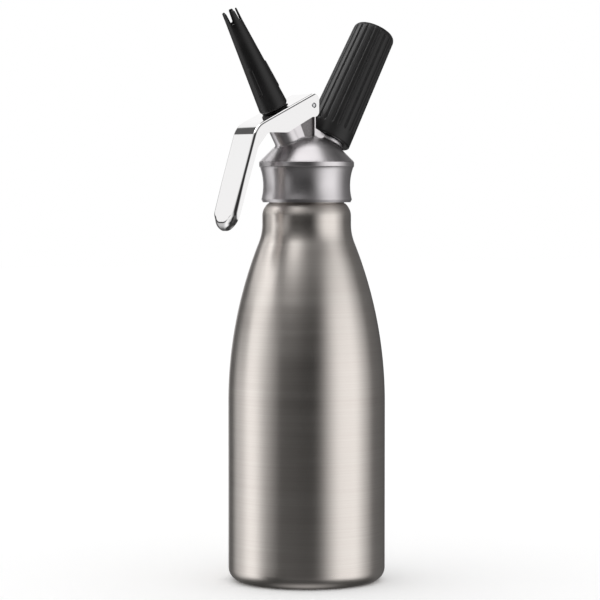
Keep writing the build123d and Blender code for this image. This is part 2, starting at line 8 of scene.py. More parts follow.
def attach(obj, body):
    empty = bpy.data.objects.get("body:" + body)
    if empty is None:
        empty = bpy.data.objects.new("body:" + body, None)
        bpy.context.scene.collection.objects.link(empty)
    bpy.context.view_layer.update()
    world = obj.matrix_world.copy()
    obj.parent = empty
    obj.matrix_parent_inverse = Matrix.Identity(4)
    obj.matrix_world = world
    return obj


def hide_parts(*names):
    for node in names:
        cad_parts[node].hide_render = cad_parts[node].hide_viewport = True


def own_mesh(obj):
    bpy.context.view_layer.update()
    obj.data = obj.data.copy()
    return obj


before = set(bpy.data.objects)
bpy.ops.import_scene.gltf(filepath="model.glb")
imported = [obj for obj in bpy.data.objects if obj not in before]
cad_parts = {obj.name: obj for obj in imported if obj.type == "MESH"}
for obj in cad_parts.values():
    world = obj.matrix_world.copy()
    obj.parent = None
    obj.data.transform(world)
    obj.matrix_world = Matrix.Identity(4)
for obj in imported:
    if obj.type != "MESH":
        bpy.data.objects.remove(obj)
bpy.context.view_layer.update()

# A one-litre cream whipper: a brushed steel bottle, a cast head screwed onto its neck, a chromed squeeze
# lever that presses a sprung valve, a black tined nozzle on the valve and a black fluted charger holder.
# Sizes are in millimetres, as on the part's drawing; every mesh ends up in metres in the part's own frame.
MM = 0.001

# Bottle
body_radius = 46.0
base_corner = 8.0
body_height = 105.0
shoulder_radius = 253.0
neck_fillet = 30.0
band_radius = 26.0
band_height = 12.1
neck_step = 4.0
neck_land = 0.6
neck_turn = 7.5
neck_height = 10.6
neck_edge = 0.5
bottle_wall = 1.2
shoulder_turn = acos(1 - (body_radius - band_radius) / (shoulder_radius + neck_fillet))
band_start = body_height + (shoulder_radius + neck_fillet) * sin(shoulder_turn)
ledge = band_start + band_height
neck_top = ledge + neck_height
neck_radius = band_radius - neck_step

# Head: its foot, its bore, the lever's pin and the hinge post's hollows
lip = ledge + 0.6
head_bore = neck_radius + 0.9
pin_x = -2.5
pin_z = lip + 56.3
pin_radius = 1.5
pin_end_radius = 0.98
pin_groove = 0.9
pin_step_round = 0.15
pin_groove_round = 0.1
pin_end_round = 0.25
pin_end_crown = 0.05
post_half = 8.0
pocket_depth = 1.6
pocket_back = -11.6
pocket_front = 0.7
pocket_foot = pin_z - 18.3
pocket_roof = pin_z - 4.9

# Lever: its sheet, and the plate's hole, which is drawn in from the solid's larger one
lever_half_width = 12.2
lever_wall = 1.6
lever_slope = 26.5
hole_shift = 0.36
hole_radius = 8.1
solid_hole_reach = 9.3

# Lever's paddle, counted down from the corner of its bend; the fold round its edge widens to the tip
bend_x = -41.410
bend_z = lip + 44.023
paddle_angle = 16.8
tip_start = 30.0
tip_seam = 0.5
tip_end = 62.0
tip_corner = 10.5
tip_depth = 4.0
side_fold = 1.6
low_fold = 2.5
tip_fold = 4.8
tip_fold_share = 0.4
tip_side_steps = 20
tip_corner_steps = 30
fold_points = 12
least_bend = 0.02

# Valve axis, leaning towards the lever; levels count up from where it crosses the lever's plate
stem_x = -21.9
stem_z = lip + 53.75
stem_angle = 28.7
stem_radius = 4.5
flange_foot = -4.554
spring_seat = -19.682
spring_radius = 6.0
spring_wire = 0.55
spring_turns = 6

# Nozzle
nozzle_foot = 0.646
nozzle_radius = 8.6
nozzle_foot_round = 2.0
nozzle_cone = 53.7
nozzle_neck = 4.85
nozzle_tip = 4.6
nozzle_wall = 1.0
nozzle_neck_round = 6.0
nozzle_seat_edge = 0.1
nozzle_lip_round = 0.35
nozzle_mouth_round = 0.2
nozzle_socket = 8.5
socket_play = 0.25
socket_step = 0.5
washer_seat = 6.25
washer_depth = 1.05
tine_count = 5
tine_length = 7.4
tine_phase = 47.0
slot_foot_width = 2.1
slot_mouth_width = 3.1
slot_corner = 0.8
slot_inside = 0.5
slot_reach = 8.0
tine_round = 0.8
nozzle_top = nozzle_foot + nozzle_foot_round + nozzle_cone + tine_length
grip_rib_count = 3
grip_rib_height = 0.45
grip_rib_edge = 0.7
grip_rib_start = 10.9
grip_rib_length = 17.4
grip_rib_arc = 24.0
grip_rib_phase = -29.5

# Charger holder, on the inlet axis; levels count up from the holder's foot
inlet_x = 13.95
inlet_z = lip + 36.8
inlet_angle = 27.9
holder_foot_radius = 14.1
holder_top_radius = 12.65
holder_shoulder = 73.7
holder_crown = 1.0
holder_crown_round = 60.0
holder_top_corner = 4.2
holder_foot_edge = 0.6
holder_foot_round = 0.4
holder_side_round = 0.5
holder_bore_top = 69.1
charger_bore = 9.15
liner_bore = 10.25
liner_seat = 11.65
flute_count = 20
flute_sides = 16
flute_half = 1.05
flute_depth = 0.75
flute_start = 8.5
spigot_radius = 8.0
liner_inner = 8.25

# Screw threads, each with the rise of the joint that turns on it
neck_pitch = 3.2
neck_thread_foot = ledge + 2.2
stem_pitch = 1.5
holder_pitch = 2.0
holder_thread_foot = 1.2
thread_sink = 0.12

upright = Matrix.Scale(MM, 4)
on_stem = upright @ Matrix.Translation((stem_x, 0, stem_z)) @ Matrix.Rotation(radians(-stem_angle), 4, "Y")
on_inlet = upright @ Matrix.Translation((inlet_x, 0, inlet_z)) @ Matrix.Rotation(radians(inlet_angle), 4, "Y")


def linear(hex_colour):
    """A hex sRGB colour as the linear colour that the shaders take."""
    parts = [int(hex_colour[place:place + 2], 16) / 255 for place in (1, 3, 5)]
    return (*[part / 12.92 if part <= 0.04045 else ((part + 0.055) / 1.055) ** 2.4 for part in parts], 1.0)


def add(tree, kind, inputs=None, stops=(), **settings):
    """Adds a node with its settings and, on a ramp, stops of (position, colour); fills its inputs with
    values, with other nodes' outputs, or with nodes, of which it takes the first output."""
    node = tree.nodes.new(kind)
    for name, value in settings.items():
        setattr(node, name, value)
    for number, (position, colour) in enumerate(stops):
        elements = node.color_ramp.elements
        stop = elements[number] if number < 2 else elements.new(position)
        stop.position = position
        stop.color = colour
    for name, value in (inputs or {}).items():
        if isinstance(value, bpy.types.Node):
            value = value.outputs[0]
        if isinstance(value, bpy.types.NodeSocket):
            tree.links.new(value, node.inputs[name])
        else:
            node.inputs[name].default_value = value
    return node


# Materials; a pattern's scale is the number of its marks to a millimetre


def new_finish(name, values):
    """A named material with its shader's values, its tree, and each point's place on the piece in metres."""
    material = bpy.data.materials.new(name)
    material.use_nodes = True
    tree = material.node_tree
    for label, value in values.items():
        tree.nodes["Principled BSDF"].inputs[label].default_value = value
    return material, tree, add(tree, "ShaderNodeTexCoord").outputs["Object"]


def coated(material, patterns):
    """Feeds the inputs of a material's shader from its pattern nodes."""
    tree = material.node_tree
    for label, node in patterns.items():
        tree.links.new(node.outputs[0], tree.nodes["Principled BSDF"].inputs[label])
    return material


def brushed_stainless():
    """Stainless steel, deep-drawn and brushed round and round: fine level scratches that smear each
    reflection up and down, a slightly warm grey, and faint tone changes from belt to belt."""
    material, tree, place = new_finish("brushed_stainless_steel", {
        "Metallic": 1.0, "Anisotropic": 0.7, "Anisotropic Rotation": 0.25})
    around = add(tree, "ShaderNodeTangent", direction_type="RADIAL", axis="Z")
    # scratches 0.35 mm apart and tens of millimetres long
    scratch_place = add(tree, "ShaderNodeMapping", {
        "Vector": place, "Scale": (0.012 / MM, 0.012 / MM, 2.8 / MM)})
    scratches = add(tree, "ShaderNodeTexNoise", {"Vector": scratch_place, "Scale": 1.0, "Detail": 2.0})
    # belt marks some 6 mm high
    belt_place = add(tree, "ShaderNodeMapping", {
        "Vector": place, "Scale": (0.006 / MM, 0.006 / MM, 0.16 / MM)})
    belts = add(tree, "ShaderNodeTexNoise", {"Vector": belt_place, "Scale": 1.0, "Detail": 3.0})
    both = add(tree, "ShaderNodeMath", {0: scratches, 1: belts}, operation="ADD")
    mean = add(tree, "ShaderNodeMath", {0: both, 1: 0.5}, operation="MULTIPLY")
    tone = add(tree, "ShaderNodeValToRGB", {"Fac": mean}, stops=(
        (0.3, linear("#DDD5CF")), (0.7, linear("#EAE4DE"))))
    matt = add(tree, "ShaderNodeMapRange", {"Value": belts, "To Min": 0.24, "To Max": 0.36})
    # the brushing doesn't reach into the neck's rounding below the head, which stays duller
    height = add(tree, "ShaderNodeSeparateXYZ", {"Vector": place}).outputs["Z"]
    dull = add(tree, "ShaderNodeMapRange", {
        "Value": height, "From Min": (ledge - 1.1 * neck_turn) * MM,
        "From Max": (ledge - 0.5 * neck_turn) * MM, "To Min": 0.0, "To Max": 0.17},
        interpolation_type="SMOOTHSTEP")
    rough = add(tree, "ShaderNodeMath", {0: matt, 1: dull}, operation="ADD")
    grooves = add(tree, "ShaderNodeBump", {"Height": scratches, "Strength": 0.12, "Distance": 0.02 * MM})
    return coated(material, {"Tangent": around, "Base Color": tone, "Roughness": rough, "Normal": grooves})


def satin_aluminium():
    """Cast aluminium, turned on a lathe and satin-brushed: level tool lines that smear reflections up and
    down, a fine grain and a cool neutral silver."""
    material, tree, place = new_finish("satin_turned_aluminium", {
        "Metallic": 1.0, "Anisotropic": 0.4, "Anisotropic Rotation": 0.25})
    around = add(tree, "ShaderNodeTangent", direction_type="RADIAL", axis="Z")
    # tool lines 0.3 mm apart
    line_place = add(tree, "ShaderNodeMapping", {
        "Vector": place, "Scale": (0.015 / MM, 0.015 / MM, 3.3 / MM)})
    lines = add(tree, "ShaderNodeTexNoise", {"Vector": line_place, "Scale": 1.0, "Detail": 2.0})
    # casting tone drifts over about 20 mm
    drift = add(tree, "ShaderNodeTexNoise", {"Vector": place, "Scale": 0.05 / MM, "Detail": 3.0})
    tone = add(tree, "ShaderNodeValToRGB", {"Fac": drift}, stops=(
        (0.3, linear("#DEDADC")), (0.7, linear("#EAE6E8"))))
    matt = add(tree, "ShaderNodeMapRange", {"Value": lines, "To Min": 0.27, "To Max": 0.4})
    marks = add(tree, "ShaderNodeBump", {"Height": lines, "Strength": 0.1, "Distance": 0.02 * MM})
    return coated(material, {"Tangent": around, "Base Color": tone, "Roughness": matt, "Normal": marks})


def cast_with_painted_shade():
    """Aluminium as it left the mould, in the hollows that no tool reaches: dull and pebbled, with a darker
    tone painted in for the shade inside the hollows.
    """
    material, tree, place = new_finish("as_cast_aluminium_painted_shade", {"Metallic": 1.0, "Roughness": 0.6})
    # mould grains 0.6 mm across
    grain = add(tree, "ShaderNodeTexNoise", {"Vector": place, "Scale": 1.7 / MM, "Detail": 4.0})
    # painted shade: the tone's darker greys stand for the shade inside the hollows, mottled by the grain
    tone = add(tree, "ShaderNodeValToRGB", {"Fac": grain}, stops=(
        (0.3, linear("#8A8687")), (0.75, linear("#B5B1B2"))))
    pebbles = add(tree, "ShaderNodeBump", {"Height": grain, "Strength": 0.5, "Distance": 0.12 * MM})
    return coated(material, {"Base Color": tone, "Normal": pebbles})


def polished_chrome():
    """Sheet steel, pressed, polished and chrome-plated: a clear mirror with a cool tint, a trace of
    orange peel from polishing and a few dull wipe marks."""
    material, tree, place = new_finish("polished_chrome_plate", {
        "Base Color": linear("#E6E5E5"), "Metallic": 1.0})
    # orange peel some 5 mm across, wipe marks some 15 mm long
    peel = add(tree, "ShaderNodeTexNoise", {"Vector": place, "Scale": 0.2 / MM, "Detail": 1.0})
    wipe_place = add(tree, "ShaderNodeMapping", {
        "Vector": place, "Scale": (0.06 / MM, 0.26 / MM, 0.06 / MM)})
    wipes = add(tree, "ShaderNodeTexNoise", {"Vector": wipe_place, "Scale": 1.0, "Detail": 5.0})
    matt = add(tree, "ShaderNodeMapRange", {
        "Value": wipes, "From Min": 0.35, "From Max": 0.8, "To Min": 0.03, "To Max": 0.11})
    skin = add(tree, "ShaderNodeBump", {"Height": peel, "Strength": 0.06, "Distance": 0.05 * MM})
    return coated(material, {"Roughness": matt, "Normal": skin})


def moulded_black_plastic():
    """Black polypropylene from a fine-sparked mould: a deep neutral black with a soft satin shine, a
    skin of tiny pits and slightly paler rubbed patches."""
    material, tree, place = new_finish("moulded_black_polypropylene", {"IOR": 1.49})
    # spark pits 0.2 mm across, handling marks some 12 mm across
    pits = add(tree, "ShaderNodeTexNoise", {"Vector": place, "Scale": 5 / MM, "Detail": 2.0})
    rubs = add(tree, "ShaderNodeTexNoise", {"Vector": place, "Scale": 0.085 / MM, "Detail": 5.0})
    tone = add(tree, "ShaderNodeValToRGB", {"Fac": rubs}, stops=(
        (0.35, linear("#0D0B0C")), (0.75, linear("#171516"))))
    matt = add(tree, "ShaderNodeMapRange", {"Value": rubs, "To Min": 0.34, "To Max": 0.5})
    skin = add(tree, "ShaderNodeBump", {"Height": pits, "Strength": 0.12, "Distance": 0.02 * MM})
    return coated(material, {"Base Color": tone, "Roughness": matt, "Normal": skin})


def black_rubber():
    """Black nitrile rubber, press-moulded: matt, faintly dusty, with a soft uneven skin."""
    material, tree, place = new_finish("moulded_nitrile_rubber", {"Roughness": 0.7})
    # skin waves 0.5 mm across, dust drifts over 8 mm
    skin = add(tree, "ShaderNodeTexNoise", {"Vector": place, "Scale": 2 / MM, "Detail": 3.0})
    dust = add(tree, "ShaderNodeTexNoise", {"Vector": place, "Scale": 0.125 / MM, "Detail": 4.0})
    tone = add(tree, "ShaderNodeValToRGB", {"Fac": dust}, stops=(
        (0.35, linear("#121213")), (0.8, linear("#242426"))))
    waves = add(tree, "ShaderNodeBump", {"Height": skin, "Strength": 0.2, "Distance": 0.05 * MM})
    return coated(material, {"Base Color": tone, "Normal": waves})


def machined_steel():
    """Stainless bar, turned on a lathe: bright, with close tool rings and a neutral grey."""
    material, tree, place = new_finish("turned_stainless_bar", {
        "Base Color": linear("#CDCDCF"), "Metallic": 1.0})
    # tool marks 0.3 mm apart, drawn as grain because the pieces stand at different slants
    marks = add(tree, "ShaderNodeTexNoise", {"Vector": place, "Scale": 3.3 / MM, "Detail": 2.0})
    matt = add(tree, "ShaderNodeMapRange", {"Value": marks, "To Min": 0.14, "To Max": 0.32})
    rings = add(tree, "ShaderNodeBump", {"Height": marks, "Strength": 0.1, "Distance": 0.02 * MM})
    return coated(material, {"Roughness": matt, "Normal": rings})


def zinc_plate():
    """Steel with bright zinc plate: a bluish silver, softly mottled by the crystals of the plate."""
    material, tree, place = new_finish("bright_zinc_plate", {"Metallic": 1.0})
    # crystals 1.5 mm across
    crystals = add(tree, "ShaderNodeTexVoronoi", {"Vector": place, "Scale": 0.65 / MM})
    tone = add(tree, "ShaderNodeValToRGB", {"Fac": crystals}, stops=(
        (0, linear("#CFD2D6")), (1, linear("#B4B9BF"))))
    matt = add(tree, "ShaderNodeMapRange", {"Value": crystals, "To Min": 0.22, "To Max": 0.36})
    return coated(material, {"Base Color": tone, "Roughness": matt})


def white_acetal():
    """Acetal turned from rod: a cool, waxy white; its slight translucency at the edges is not drawn."""
    material, tree, place = new_finish("turned_white_acetal", {"Roughness": 0.35})
    # flow clouds some 4 mm across
    clouds = add(tree, "ShaderNodeTexNoise", {"Vector": place, "Scale": 0.25 / MM, "Detail": 3.0})
    tone = add(tree, "ShaderNodeValToRGB", {"Fac": clouds}, stops=(
        (0, linear("#DDDCD5")), (1, linear("#EDECE7"))))
    return coated(material, {"Base Color": tone})


steel_finish = brushed_stainless()
head_finish = satin_aluminium()
pocket_finish_with_shade = cast_with_painted_shade()
chrome_finish = polished_chrome()
plastic_finish = moulded_black_plastic()
rubber_finish = black_rubber()
turned_finish = machined_steel()
plated_finish = zinc_plate()
acetal_finish = white_acetal()


# Meshes


def gently(share):
    """A share from 0 to 1 that starts and ends without a jolt."""
    return share * share * (3 - 2 * share)


def arc(centre, radius, first, last, steps):
    """Points on an arc, from one angle in degrees to another."""
    angles = [radians(first + (last - first) * step / steps) for step in range(steps + 1)]
    return [(centre[0] + radius * cos(angle), centre[1] + radius * sin(angle)) for angle in angles]


def softened(corners, closed=False):
    """A line through corners of (x, y, radius), with each corner rounded by an arc."""
    points = []
    count = len(corners)
    for place, (x, y, radius) in enumerate(corners):
        if radius == 0 or (not closed and place in (0, count - 1)):
            points.append((x, y))
            continue
        here = Vector((x, y))
        before = (Vector(corners[place - 1][:2]) - here).normalized()
        after = (Vector(corners[(place + 1) % count][:2]) - here).normalized()
        half = before.angle(after) / 2
        centre = here + (before + after).normalized() * (radius / sin(half))
        start = here + before * (radius / tan(half)) - centre
        end = here + after * (radius / tan(half)) - centre
        turn = start.angle_signed(end) * -1
        steps = max(2, ceil(abs(turn) / radians(12)))
        for step in range(steps + 1):
            spoke = Matrix.Rotation(turn * step / steps, 2) @ start
            points.append(tuple(centre + spoke))
    return points


def spaced(points, longest):
    """The same line with extra points, so that no step is longer than given."""
    line = [points[0]]
    for (x0, y0), (x1, y1) in zip(points, points[1:]):
        steps = max(1, ceil(hypot(x1 - x0, y1 - y0) / longest))
        line += [
            (x0 + (x1 - x0) * step / steps, y0 + (y1 - y0) * step / steps) for step in range(1, steps + 1)]
    return line


def meshed(bm, name):
    """A mesh of what was built in a bmesh."""
    mesh = bpy.data.meshes.new(name)
    bm.to_mesh(mesh)
    bm.free()
    return mesh


def turned(outline, sides, closed=False, reach=None):
    """A mesh turned about Z from a line of radius and height; reach may change the radius by angle."""
    bm = bmesh.new()
    rings = []
    for radius, height in outline:
        if radius < 1e-6:
            rings.append([bm.verts.new((0, 0, height))])
            continue
        ring = []
        for side in range(sides):
            angle = 2 * pi * side / sides
            here = reach(radius, height, angle) if reach else radius
            ring.append(bm.verts.new((here * cos(angle), here * sin(angle), height)))
        rings.append(ring)
    if closed:
        rings.append(rings[0])
    for lower, upper in zip(rings, rings[1:]):
        for side in range(sides):
            after = (side + 1) % sides
            corners = [lower[side % len(lower)], lower[after % len(lower)]]
            corners += [upper[after % len(upper)], upper[side % len(upper)]]
            bm.faces.new(list(dict.fromkeys(corners)))
    bmesh.ops.recalc_face_normals(bm, faces=bm.faces)
    return meshed(bm, "turned")


def eased(mesh, crease):
    """Smooth shading, kept sharp where two faces meet at more than the crease."""
    mesh.shade_smooth()
    mesh.set_sharp_from_angle(angle=radians(crease))
    return mesh


def held(name, mesh):
    """An object that holds a mesh at the origin."""
    piece = bpy.data.objects.new(name, mesh)
    bpy.context.scene.collection.objects.link(piece)
    return piece


def made_of(mesh, tree=None, values=None, modifier="NODES", **settings):
    """The plain mesh that a node tree or another modifier makes of a mesh."""
    piece = held("blank", mesh)
    step = piece.modifiers.new("step", modifier)
    for name, value in settings.items():
        setattr(step, name, value)
    if tree:
        step.node_group = tree
        for item in tree.interface.items_tree:
            if item.item_type == "SOCKET" and item.in_out == "INPUT" and item.name in (values or {}):
                step[item.identifier] = values[item.name]
    piece.update_tag()
    bpy.context.view_layer.update()
    graph = bpy.context.evaluated_depsgraph_get()
    made = bpy.data.meshes.new_from_object(piece.evaluated_get(graph))
    piece.modifiers.remove(step)
    bpy.data.objects.remove(piece)
    return made


def finished(name, mesh, material, body, slot, *nodes):
    """Places a finished mesh on its body, in its material, in the stead of the solids it stands for."""
    if not mesh.materials:
        mesh.materials.append(material)
    piece = held(name, mesh)
    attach(piece, body)
    if nodes:
        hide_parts(*nodes)
    return piece


def smoothed_solid(node, crease=28, shaped=None):
    """A solid's mesh, joined up, shaped further and shaded smooth, with its flat faces kept flat."""
    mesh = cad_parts[node].data.copy()
    for layer in [layer.name for layer in mesh.attributes if layer.name in ("custom_normal", "sharp_edge")]:
        mesh.attributes.remove(mesh.attributes[layer])
    bm = bmesh.new()
    bm.from_mesh(mesh)
    bmesh.ops.remove_doubles(bm, verts=bm.verts, dist=0.002 * MM)
    bmesh.ops.dissolve_degenerate(bm, edges=bm.edges, dist=0.0005 * MM)
    if shaped:
        shaped(bm)
    bm.to_mesh(mesh)
    bm.free()
    mesh.materials.clear()
    return made_of(
        eased(mesh, crease), modifier="WEIGHTED_NORMAL", keep_sharp=True, mode="FACE_AREA_WITH_ANGLE")


# Node trees for what winds or repeats


def new_tree(name, *inputs):
    """An empty geometry tree with inputs of (name, kind, value)."""
    tree = bpy.data.node_groups.new(name, "GeometryNodeTree")
    tree.interface.new_socket("Geometry", in_out="INPUT", socket_type="NodeSocketGeometry")
    for label, kind, value in inputs:
        socket = tree.interface.new_socket(label, in_out="INPUT", socket_type=f"NodeSocket{kind}")
        if value is not None:
            socket.default_value = value
    tree.interface.new_socket("Geometry", in_out="OUTPUT", socket_type="NodeSocketGeometry")
    return tree, tree.nodes.new("NodeGroupInput").outputs


def closing(tree, geometry, material):
    """Ends a tree in real geometry with its material."""
    real = add(tree, "GeometryNodeRealizeInstances", {"Geometry": geometry})
    painted = add(tree, "GeometryNodeSetMaterial", {"Geometry": real, "Material": material})
    add(tree, "NodeGroupOutput", {"Geometry": painted})


def winding_tree():
    """Round wire wound up a straight axis; its ends may thin out, as a thread's do."""
    tree, given = new_tree(
        "round_winding",
        ("Turns", "Float", 6.0),
        ("Radius", "Float", 6.0),
        ("Rise", "Float", 15.0),
        ("Wire", "Float", 0.5),
        ("Fade", "Float", 0.001),
        ("Steps", "Int", 48),
        ("Sides", "Int", 12),
        ("Material", "Material", None),
    )
    line = add(tree, "GeometryNodeCurveSpiral", {
        "Resolution": given["Steps"], "Rotations": given["Turns"], "Start Radius": given["Radius"],
        "End Radius": given["Radius"], "Height": given["Rise"]})
    share = add(tree, "GeometryNodeSplineParameter").outputs["Factor"]
    left = add(tree, "ShaderNodeMath", {0: 1.0, 1: share}, operation="SUBTRACT")
    nearest = add(tree, "ShaderNodeMath", {0: share, 1: left}, operation="MINIMUM")
    grown = add(tree, "ShaderNodeMath", {0: nearest, 1: given["Fade"]}, operation="DIVIDE", use_clamp=True)
    sized = add(tree, "ShaderNodeMath", {0: grown, 1: 0.02}, operation="MAXIMUM")
    section = add(tree, "GeometryNodeCurvePrimitiveCircle", {
        "Resolution": given["Sides"], "Radius": given["Wire"]})
    strand = add(tree, "GeometryNodeCurveToMesh", {
        "Curve": line, "Profile Curve": section, "Scale": sized, "Fill Caps": True})
    closing(tree, strand, given["Material"])
    return tree


def fluting_tree():
    """Presses round-bottomed flutes into a turned grip, running out in a round end above its foot."""
    tree, given = new_tree(
        "pressed_flutes",
        ("Count", "Float", 20.0),
        ("Half Width", "Float", 1.0),
        ("Depth", "Float", 0.75),
        ("Start", "Float", 8.5),
        ("Foot Radius", "Float", 13.9),
        ("Taper", "Float", 0.024),
        ("Material", "Material", None),
    )
    spot = add(tree, "GeometryNodeInputPosition")
    parts = add(tree, "ShaderNodeSeparateXYZ", {0: spot}).outputs
    flat = add(tree, "ShaderNodeVectorMath", {0: spot, 1: (1, 1, 0)}, operation="MULTIPLY")
    out = add(tree, "ShaderNodeVectorMath", {0: flat}, operation="NORMALIZE")
    radius = add(tree, "ShaderNodeVectorMath", {0: flat}, operation="LENGTH").outputs["Value"]
    angle = add(tree, "ShaderNodeMath", {0: parts["Y"], 1: parts["X"]}, operation="ARCTAN2")
    pitches = add(tree, "ShaderNodeMath", {0: angle, 1: given["Count"]}, operation="MULTIPLY")
    turns = add(tree, "ShaderNodeMath", {0: pitches, 1: 2 * pi}, operation="DIVIDE")
    nearest = add(tree, "ShaderNodeMath", {0: turns}, operation="ROUND")
    middle = add(tree, "ShaderNodeMath", {0: turns, 1: nearest}, operation="SUBTRACT")
    step = add(tree, "ShaderNodeMath", {0: 2 * pi, 1: given["Count"]}, operation="DIVIDE")
    width = add(tree, "ShaderNodeMath", {0: step, 1: radius}, operation="MULTIPLY")
    aside = add(tree, "ShaderNodeMath", {0: middle, 1: width}, operation="MULTIPLY")
    under = add(tree, "ShaderNodeMath", {0: given["Start"], 1: parts["Z"]}, operation="SUBTRACT")
    below = add(tree, "ShaderNodeMath", {0: under, 1: 0.0}, operation="MAXIMUM")
    apart = add(tree, "ShaderNodeCombineXYZ", {"X": aside, "Y": below})
    away = add(tree, "ShaderNodeVectorMath", {0: apart}, operation="LENGTH")
    edge = add(tree, "ShaderNodeMapRange", {
        "Value": away.outputs["Value"], "From Min": given["Half Width"], "From Max": 0.0},
        interpolation_type="SMOOTHERSTEP")
    depth = add(tree, "ShaderNodeMath", {0: edge, 1: given["Depth"]}, operation="MULTIPLY")
    drop = add(tree, "ShaderNodeMath", {0: parts["Z"], 1: given["Taper"]}, operation="MULTIPLY")
    side = add(tree, "ShaderNodeMath", {0: given["Foot Radius"], 1: drop}, operation="SUBTRACT")
    floor = add(tree, "ShaderNodeMath", {0: side, 1: depth}, operation="SUBTRACT")
    lowest = add(tree, "ShaderNodeMath", {0: radius, 1: floor}, operation="MINIMUM")
    pressed = add(tree, "ShaderNodeMath", {0: depth, 1: 0.0001}, operation="GREATER_THAN")
    deeper = add(tree, "ShaderNodeMath", {0: lowest, 1: radius}, operation="SUBTRACT")
    moved = add(tree, "ShaderNodeMath", {0: deeper, 1: pressed}, operation="MULTIPLY")
    shift = add(tree, "ShaderNodeVectorMath", {0: out, "Scale": moved}, operation="SCALE")
    grip = add(tree, "GeometryNodeSetPosition", {"Geometry": given["Geometry"], "Offset": shift})
    closing(tree, grip, given["Material"])
    return tree


def slotting_tree():
    """Cuts one slot many times, evenly round the axis, which leaves tines between the slots."""
    tree, given = new_tree(
        "tine_slots",
        ("Slot", "Object", None),
        ("Count", "Int", 5),
        ("Phase", "Float", 0.0),
        ("Material", "Material", None),
    )
    cutter = add(tree, "GeometryNodeObjectInfo", {"Object": given["Slot"], "As Instance": True})
    spots = add(tree, "GeometryNodeMeshLine", {"Count": given["Count"], "Offset": (0, 0, 0)})
    number = add(tree, "GeometryNodeInputIndex")
    step = add(tree, "ShaderNodeMath", {0: 2 * pi, 1: given["Count"]}, operation="DIVIDE")
    turn = add(tree, "ShaderNodeMath", {0: number, 1: step, 2: given["Phase"]}, operation="MULTIPLY_ADD")
    way = add(tree, "ShaderNodeCombineXYZ", {"Z": turn})
    row = add(tree, "GeometryNodeInstanceOnPoints", {
        "Points": spots, "Instance": cutter.outputs["Geometry"], "Rotation": way})
    cutters = add(tree, "GeometryNodeRealizeInstances", {"Geometry": row})
    cut = add(
        tree, "GeometryNodeMeshBoolean", {"Mesh 1": given["Geometry"], "Mesh 2": cutters},
        operation="DIFFERENCE", solver="MANIFOLD")
    closing(tree, cut, given["Material"])
    return tree


winding = winding_tree()
fluting = fluting_tree()
slotting = slotting_tree()


def wound(place, material, foot, turns, rise, radius, wire, fade=0.001):
    """A wire wound round an axis, up from a level."""
    mesh = made_of(bpy.data.meshes.new("blank"), winding, {
        "Turns": turns, "Radius": radius, "Rise": rise, "Wire": wire, "Fade": fade, "Material": material})
    mesh.transform(place @ Matrix.Translation((0, 0, foot)))
    return eased(mesh, crease=50)


def threaded(name, place, material, body, slot, foot, turns, pitch, radius, wire, fade):
    """A screw thread on an axis, which thins out at both ends."""
    mesh = wound(place, material, foot, turns, turns * pitch, radius, wire, fade)
    finished(name, mesh, material, body, slot)


# Bottle


def bottle_line(inset):
    """Half of the bottle's outline from the base up to the ledge, moved in by the wall for the inside."""
    body = body_radius - inset
    band = band_radius - inset
    base = base_corner - inset
    bend = neck_step - neck_land - inset
    rise = neck_turn - inset
    round_radius = (bend ** 2 + rise ** 2) / (2 * bend)
    round_end = atan2(rise, round_radius - bend) * 180 / pi
    turn = shoulder_turn * 180 / pi
    sweep = (body_radius - shoulder_radius, body_height)
    hollow = (band_radius + neck_fillet, band_start)
    line = [(0, inset)]
    line += arc((body - base, inset + base), base, -90, 0, steps=14)
    line += arc(sweep, shoulder_radius - inset, 0, turn, steps=60)
    line += arc(hollow, neck_fillet + inset, 180 + turn, 180, steps=20)[1:]
    line += arc((band - round_radius, ledge - inset - rise), round_radius, 0, round_end, steps=12)
    return line


def make_bottle():
    """The drawn shell, open at its neck."""
    neck_in = neck_radius - bottle_wall
    mouth = softened([
        (neck_radius, ledge, 0), (neck_radius, neck_top, neck_edge), (neck_in, neck_top, neck_edge),
        (neck_in, ledge - bottle_wall, 0)])
    inside = bottle_line(bottle_wall)
    line = spaced(bottle_line(0), longest=4.0) + mouth + spaced(inside[::-1], longest=6.0)
    mesh = turned(line, sides=256)
    mesh.transform(upright)
    return eased(mesh, crease=35)


finished("steel_bottle", make_bottle(), steel_finish, "bottle", "bottle_steel", "bottle")
threaded(
    "neck_thread", upright, steel_finish, "bottle", "bottle_steel",
    foot=neck_thread_foot, turns=2.1, pitch=neck_pitch, radius=neck_radius, wire=0.7, fade=0.12)


# Head


def make_head():
    """The casting, with its two hollows left as cast and painted darker for their shade."""
    mesh = smoothed_solid("head")
    mesh.materials.append(head_finish)
    mesh.materials.append(pocket_finish_with_shade)
    floor = (post_half - pocket_depth) * MM
    for face in mesh.polygons:
        middle = face.center
        across = pocket_back * MM < middle.x < pocket_front * MM
        level = pocket_foot * MM < middle.z < pocket_roof * MM
        # the hollows' floors take the as-cast finish with its painted shade
        if across and level and floor - 0.01 * MM < abs(middle.y) < floor + 0.02 * MM:
            face.material_index = 1
    return mesh


finished("cast_head", make_head(), head_finish, "head", "head_alloy", "head")
threaded(
    "collar_thread", upright, head_finish, "head", "head_alloy",
    foot=neck_thread_foot + neck_pitch / 2, turns=1.9, pitch=neck_pitch,
    radius=head_bore, wire=0.6, fade=0.12)


